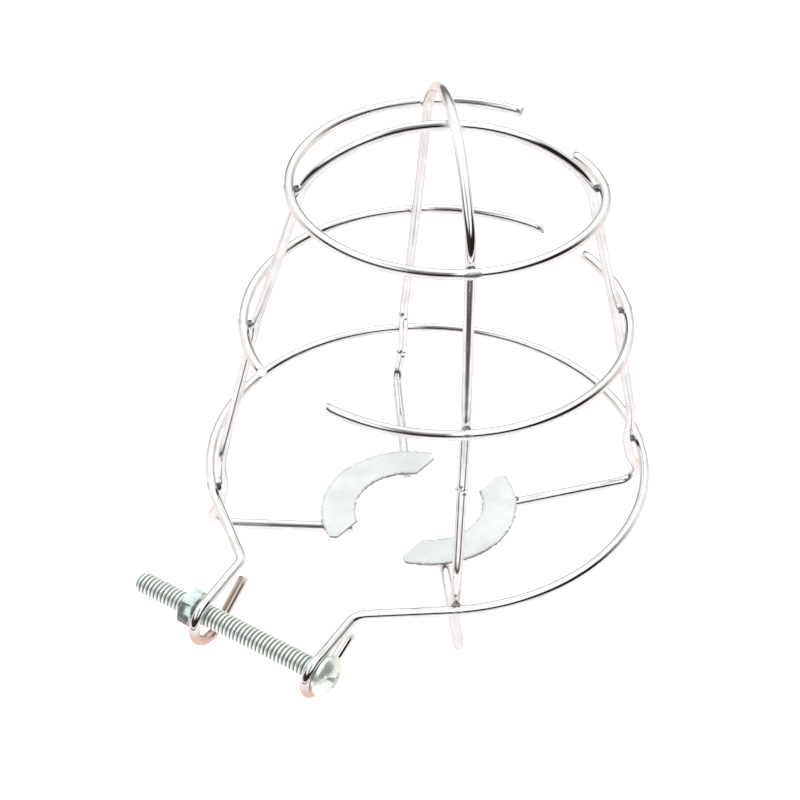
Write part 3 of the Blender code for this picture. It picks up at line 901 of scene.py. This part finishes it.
def thread_mesh(name, material):
    """The screw's shank: a V thread with flat crests and roots, running out at its free end."""
    place = cage_centre() + Vector((HEAD_FACE_X, -SCREW_DISTANCE, SCREW_HEIGHT))
    steps = THREAD_STEPS
    profile = ((0.0, 0.0), (0.10, 0.0), (0.42, 1.0), (0.58, 1.0), (0.90, 0.0))
    turns = SCREW_LENGTH / SCREW_PITCH
    shape = bmesh.new()
    deep = shape.verts.layers.float.new("deep")
    crest = SCREW_DIAMETER / 2
    strips = []
    total = round((turns + 2) * steps)
    for index in range(total + 1):
        angle = math.tau * index / steps
        strip = []
        for share, height in profile:
            along = SCREW_PITCH * (1.0 - index / steps - share)
            depth = THREAD_DEPTH * (1.0 - height)
            to_tip = SCREW_LENGTH + along
            chamfer = max(0.0, 1.1 * MM - to_tip) * 0.9
            radius = min(crest - depth, crest - chamfer)
            vert = shape.verts.new((along, radius * math.cos(angle), radius * math.sin(angle)))
            # Painted shade in the thread's roots, through the 'deep' attribute.
            vert[deep] = 1.0 - height
            strip.append(vert)
        strips.append(strip)
    for index in range(total):
        here, there = strips[index], strips[index + 1]
        for part in range(len(profile) - 1):
            shape.faces.new((here[part], there[part], there[part + 1], here[part + 1]))
        turned = index + steps
        if turned + 1 <= total:
            below, below_next = strips[turned], strips[turned + 1]
            shape.faces.new((here[-1], there[-1], below_next[0], below[0]))
    for cut, way in ((0.5 * MM, 1.0), (-SCREW_LENGTH, -1.0)):
        geometry = list(shape.verts) + list(shape.edges) + list(shape.faces)
        bmesh.ops.bisect_plane(shape, geom=geometry, plane_co=(cut, 0.0, 0.0),
                               plane_no=(way, 0.0, 0.0), clear_outer=True)
    bmesh.ops.remove_doubles(shape, verts=shape.verts, dist=1e-7)
    rims = [edge for edge in shape.edges if edge.is_boundary]
    bmesh.ops.holes_fill(shape, edges=rims, sides=0)
    bmesh.ops.recalc_face_normals(shape, faces=shape.faces)
    for face in shape.faces:
        face.smooth = len(face.verts) <= 4
    bmesh.ops.translate(shape, verts=shape.verts, vec=place)
    mesh = bpy.data.meshes.new(name)
    shape.to_mesh(mesh)
    shape.free()
    mesh.materials.append(material)
    item = link(bpy.data.objects.new(name, mesh))
    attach(item, "screw")
    return item


def spun(profile, steps):
    """A closed solid of revolution about X; its (x, radius) pairs start and end on the axis."""
    shape = bmesh.new()
    verts = [shape.verts.new((x, radius, 0.0)) for x, radius in profile]
    edges = [shape.edges.new(pair) for pair in zip(verts, verts[1:])]
    bmesh.ops.spin(shape, geom=verts + edges, axis=(1.0, 0.0, 0.0), cent=(0.0, 0.0, 0.0),
                   angle=math.tau, steps=steps, use_merge=False)
    bmesh.ops.remove_doubles(shape, verts=shape.verts, dist=1e-6)
    bmesh.ops.recalc_face_normals(shape, faces=shape.faces)
    return shape


def object_from(shape, name):
    mesh = bpy.data.meshes.new(name)
    shape.to_mesh(mesh)
    shape.free()
    return link(bpy.data.objects.new(name, mesh))


def carved(item, cutters, bevel_width):
    """Applies the cutters as EXACT booleans, softens the edges, and removes the cutters."""
    for cutter, operation in cutters:
        modifier = item.modifiers.new("cut", "BOOLEAN")
        modifier.operation = operation
        modifier.solver = "EXACT"
        modifier.object = cutter
    bevel = item.modifiers.new("soften", "BEVEL")
    bevel.width = bevel_width
    bevel.segments = 2
    bevel.limit_method = "ANGLE"
    bevel.angle_limit = math.radians(28.0)
    bevel.harden_normals = False
    bpy.context.view_layer.update()
    evaluated = item.evaluated_get(bpy.context.evaluated_depsgraph_get())
    mesh = bpy.data.meshes.new_from_object(evaluated)
    item.modifiers.clear()
    item.data = mesh
    for cutter, _ in cutters:
        bpy.data.objects.remove(cutter)
    for polygon in mesh.polygons:
        polygon.use_smooth = True
    mesh.set_sharp_from_angle(angle=math.radians(35.0))
    return item


def blade(name, turn, width, span, depth, taper):
    shape = bmesh.new()
    made = bmesh.ops.create_cube(shape, size=1.0)
    for vert in made["verts"]:
        outer = vert.co.x > 0
        vert.co.x = HEAD_HEIGHT + (1.0 * MM if outer else -depth)
        vert.co.y *= span * (1.0 if outer else taper)
        vert.co.z *= width * (1.0 if outer else 0.82)
    bmesh.ops.rotate(shape, verts=made["verts"], cent=(0.0, 0.0, 0.0),
                     matrix=Matrix.Rotation(math.radians(turn), 3, "X"))
    return object_from(shape, name)


def screw_head(material):
    """A pan head with a slot right across and a cross recess."""
    dome = HEAD_HEIGHT - HEAD_RIM
    radius = HEAD_DIAMETER / 2
    curve = (radius ** 2 + dome ** 2) / (2 * dome)
    profile = [(0.0, 0.0), (0.0, radius - 0.25 * MM), (0.08 * MM, radius - 0.08 * MM),
               (0.25 * MM, radius)]
    for index in range(HEAD_STEPS + 1):
        out = radius * (1 - index / HEAD_STEPS)
        rise = math.sqrt(curve ** 2 - out ** 2) - (curve - dome)
        profile.append((HEAD_RIM + rise, out))
    head = object_from(spun(profile, HEAD_SIDES), "screw_head")
    cutters = [
        (blade("slot", RECESS_TURN, SLOT_WIDTH, 1.5 * HEAD_DIAMETER, SLOT_DEPTH, 1.0),
         "DIFFERENCE"),
        (blade("cross_a", RECESS_TURN, CROSS_WIDTH, CROSS_SPAN, CROSS_DEPTH, CROSS_TAPER),
         "DIFFERENCE"),
        (blade("cross_b", RECESS_TURN + 90.0, CROSS_WIDTH, CROSS_SPAN, CROSS_DEPTH, CROSS_TAPER),
         "DIFFERENCE"),
    ]
    carved(head, cutters, 0.09 * MM)
    mesh = head.data
    # Painted shade inside the slot and cross recess, through the 'deep' attribute.
    deep = mesh.attributes.new("deep", "FLOAT", "POINT")
    for index, vert in enumerate(mesh.vertices):
        out = math.hypot(vert.co.y, vert.co.z)
        surface = HEAD_RIM + math.sqrt(max(curve ** 2 - out ** 2, 0.0)) - (curve - dome)
        below = (surface - vert.co.x) / (1.2 * MM)
        deep.data[index].value = min(1.0, max(0.0, below)) if vert.co.x > HEAD_RIM else 0.0
    mesh.transform(Matrix.Translation(
        cage_centre() + Vector((HEAD_FACE_X, -SCREW_DISTANCE, SCREW_HEIGHT))))
    mesh.materials.append(material)
    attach(head, "screw")
    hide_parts("clamp_screw")
    return head


def clamp_nut(material):
    corner = NUT_FLATS / 2 / math.cos(math.pi / 6)
    flat = NUT_FLATS / 2
    shape = bmesh.new()
    turned = Matrix.Rotation(math.radians(NUT_TURN), 4, "X") @ Matrix.Rotation(math.pi / 2, 4, "Y")
    bmesh.ops.create_cone(shape, cap_ends=True, segments=6, radius1=corner, radius2=corner,
                          depth=NUT_THICKNESS, matrix=turned)
    bmesh.ops.translate(shape, verts=shape.verts, vec=(-NUT_THICKNESS / 2, 0.0, 0.0))
    nut = object_from(shape, "nut")
    lift = corner - flat + 0.2 * MM
    slope = math.tan(math.radians(30.0))
    round_off = object_from(spun([
        (-NUT_THICKNESS - MM, 0.0), (-NUT_THICKNESS - MM, flat - MM / slope + 0.2 * MM),
        (-NUT_THICKNESS + lift * slope, corner + 0.2 * MM), (-lift * slope, corner + 0.2 * MM),
        (MM, flat - MM / slope + 0.2 * MM), (MM, 0.0)], NUT_SIDES), "round_off")
    mouth = NUT_BORE + NUT_CHAMFER
    bore = object_from(spun([
        (-NUT_THICKNESS - MM, 0.0), (-NUT_THICKNESS - MM, mouth), (-NUT_THICKNESS, mouth),
        (-NUT_THICKNESS + NUT_CHAMFER, NUT_BORE), (-NUT_CHAMFER, NUT_BORE), (0.0, mouth),
        (MM, mouth), (MM, 0.0)], BORE_SIDES), "bore")
    carved(nut, [(round_off, "INTERSECT"), (bore, "DIFFERENCE")], 0.12 * MM)
    mesh = nut.data
    # Painted shade in the bore, through the 'deep' attribute.
    deep = mesh.attributes.new("deep", "FLOAT", "POINT")
    for index, vert in enumerate(mesh.vertices):
        out = math.hypot(vert.co.y, vert.co.z)
        deep.data[index].value = 1.0 if out < NUT_BORE + 0.2 * MM else 0.0
    mesh.transform(Matrix.Translation(
        cage_centre() + Vector((NUT_FACE_X, -SCREW_DISTANCE, SCREW_HEIGHT))))
    mesh.materials.append(material)
    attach(nut, "nut")
    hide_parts("clamp_nut")
    return nut


# The set

def make_camera():
    azimuth, elevation = math.radians(VIEW_AZIMUTH), math.radians(VIEW_ELEVATION)
    back = Vector((math.sin(azimuth) * math.cos(elevation),
                   -math.cos(azimuth) * math.cos(elevation), math.sin(elevation)))
    data = bpy.data.cameras.new("camera")
    data.lens = FOCAL_LENGTH
    data.sensor_width = 36.0
    data.clip_start = 0.01
    data.clip_end = 20.0
    camera = link(bpy.data.objects.new("camera", data))
    camera.rotation_mode = "QUATERNION"
    roll = Matrix.Rotation(math.radians(VIEW_ROLL), 3, "Z").to_quaternion()
    camera.rotation_quaternion = (-back).to_track_quat("-Z", "Y") @ roll
    camera.location = VIEW_TARGET + back * VIEW_DISTANCE
    bpy.context.scene.camera = camera


def make_floor():
    shape = bmesh.new()
    bmesh.ops.create_circle(shape, cap_ends=True, segments=96, radius=FLOOR_RADIUS)
    item = object_from(shape, "floor")
    item.location.z = -FLOOR_DROP
    item.data.materials.append(floor_material())
    item.visible_glossy = False


def make_world():
    """A studio: white where it is looked at, and in reflections a pale room with a dark band."""
    world = bpy.data.worlds.new("studio")
    world.use_nodes = True
    graph = Graph(tree=world.node_tree)
    graph.tree.nodes.clear()
    ray = graph.node("ShaderNodeLightPath").outputs
    turned = graph.node("ShaderNodeMapping")
    turned.inputs["Rotation"].default_value = (0.0, 0.0, -math.radians(STUDIO_TURN))
    graph.feed(turned.inputs["Vector"], graph.node("ShaderNodeTexCoord").outputs["Generated"])
    split = graph.node("ShaderNodeSeparateXYZ")
    graph.feed(split.inputs["Vector"], turned.outputs["Vector"])
    across, behind, height = split.outputs
    front = graph.mix(graph.spread(across, *FRONT_SIDE), SIDE_DARK, FRONT_DARK)
    line = graph.product(graph.spread(graph.math("ABSOLUTE", across), *REAR_WIDTH),
                         graph.spread(height, *REAR_TOP))
    rear = graph.mix(line, SWEEP, REAR_LINE)
    band = graph.mix(graph.spread(behind, *BAND_DEPTH), front, rear)
    haze = graph.product(graph.spread(across, *HAZE_RIGHT), graph.spread(across, *HAZE_LEFT),
                         graph.spread(behind, *HAZE_DEPTH), graph.spread(height, *HAZE_TOP))
    grey = graph.mix(graph.spread(height, *HAZE_FADE), BAND_LOW, BAND_HIGH)
    above = graph.mix(haze, SOFTBOX, grey)
    edge = graph.math("SUBTRACT", height, graph.spread(across, *BAND_RISE))
    upper = graph.mix(graph.spread(edge, *BAND_TOP), band, above)
    ground = graph.mix(graph.spread(behind, *FLOOR_FADE), FLOOR_NEAR, FLOOR_FAR)
    strip = graph.product(graph.spread(height, *TABLE_EDGE_LOW),
                          graph.spread(height, *TABLE_EDGE_HIGH),
                          graph.spread(behind, *TABLE_EDGE_DEPTH))
    ground = graph.mix(strip, ground, TABLE_EDGE)
    room = graph.mix(graph.spread(height, *HORIZON), upper, ground)
    lit = graph.mix(ray["Is Diffuse Ray"], room, AMBIENT)
    seen = graph.mix(ray["Is Camera Ray"], lit, WHITE)
    sky = graph.node("ShaderNodeBackground")
    graph.feed(sky.inputs["Color"], seen)
    out = graph.node("ShaderNodeOutputWorld")
    graph.tree.links.new(sky.outputs["Background"], out.inputs["Surface"])
    bpy.context.scene.world = world


def build():
    bright = wire_material()
    sheared = cut_end_material()
    marked = mark_material()
    weld = nugget_material()
    welds = weld_places() + [crown_weld()]
    arms = [arm_weld(name) for name in LEG_BEARINGS]
    hot = [place for _, place, _ in welds] + [arm[1] for arm in arms]
    materials = (bright, sheared)
    square = ((0.10, 0.6), (0.12, 2.2))
    slanted = ((0.35, 2.4), (0.15, 0.5))
    wire_mesh("arch_upper", arch_path("front", "back", CROWN_HEIGHT + UPPER_ARCH_LIFT,
                                      UPPER_CROWN_TILT), "upper_arch_wire", materials, hot, square)
    wire_mesh("arch_lower", arch_path("right", "left", CROWN_HEIGHT, 0.0),
              "lower_arch_wire", materials, hot, square)
    wire_mesh("ring_top", top_ring_path(), "top_ring", materials, hot, square)
    wire_mesh("ring_middle_right", middle_ring_path("right"), "middle_ring_right_half",
              materials, hot, slanted)
    wire_mesh("ring_middle_left", middle_ring_path("left"), "middle_ring_left_half",
              materials, hot, slanted)
    wire_mesh("ring_clamp", clamp_ring_path(), "clamp_ring", materials, hot, slanted)
    half = (1.25 * MM, 1.35 * MM, 1.05 * MM)
    for seed, (name, place, axes) in enumerate(welds):
        blob("weld_" + name, place, axes, half, seed + 1, weld)
    old_beads(arch_path("front", "back", CROWN_HEIGHT + UPPER_ARCH_LIFT, UPPER_CROWN_TILT),
              bright, weld)
    for name in LEG_BEARINGS:
        for ring in range(3):
            electrode_mark(name, ring, marked)
    for seed, (name, place, axes, side) in enumerate(arms):
        blob("weld_" + name, place, axes, (0.5 * MM, 1.2 * MM, 2.2 * MM), seed + 20, weld)
    sheet = sheet_material()
    for side in ("right", "left"):
        collar_plate(side, sheet)
    thread = zinc_material("zinc_thread", (0.90, 0.95, 0.91), (0.78, 0.84, 0.79),
                           (0.05, 0.07, 0.06), 0.16, 0.05, 0.85, 0.50)
    zinc = zinc_material("zinc_head", (0.88, 0.93, 0.89), (0.76, 0.82, 0.77),
                         (0.13, 0.15, 0.14), 0.20, 0.12, 0.3, 0.78)
    zinc_nut = zinc_material("zinc_nut", (0.80, 0.87, 0.86), (0.60, 0.69, 0.70),
                             (0.10, 0.13, 0.14), 0.16, 0.45, 0.35, 0.88)
    thread_mesh("screw_shank", thread)
    screw_head(zinc)
    clamp_nut(zinc_nut)


make_camera()
make_floor()
make_world()
bpy.context.scene.view_settings.view_transform = "Standard"
build()
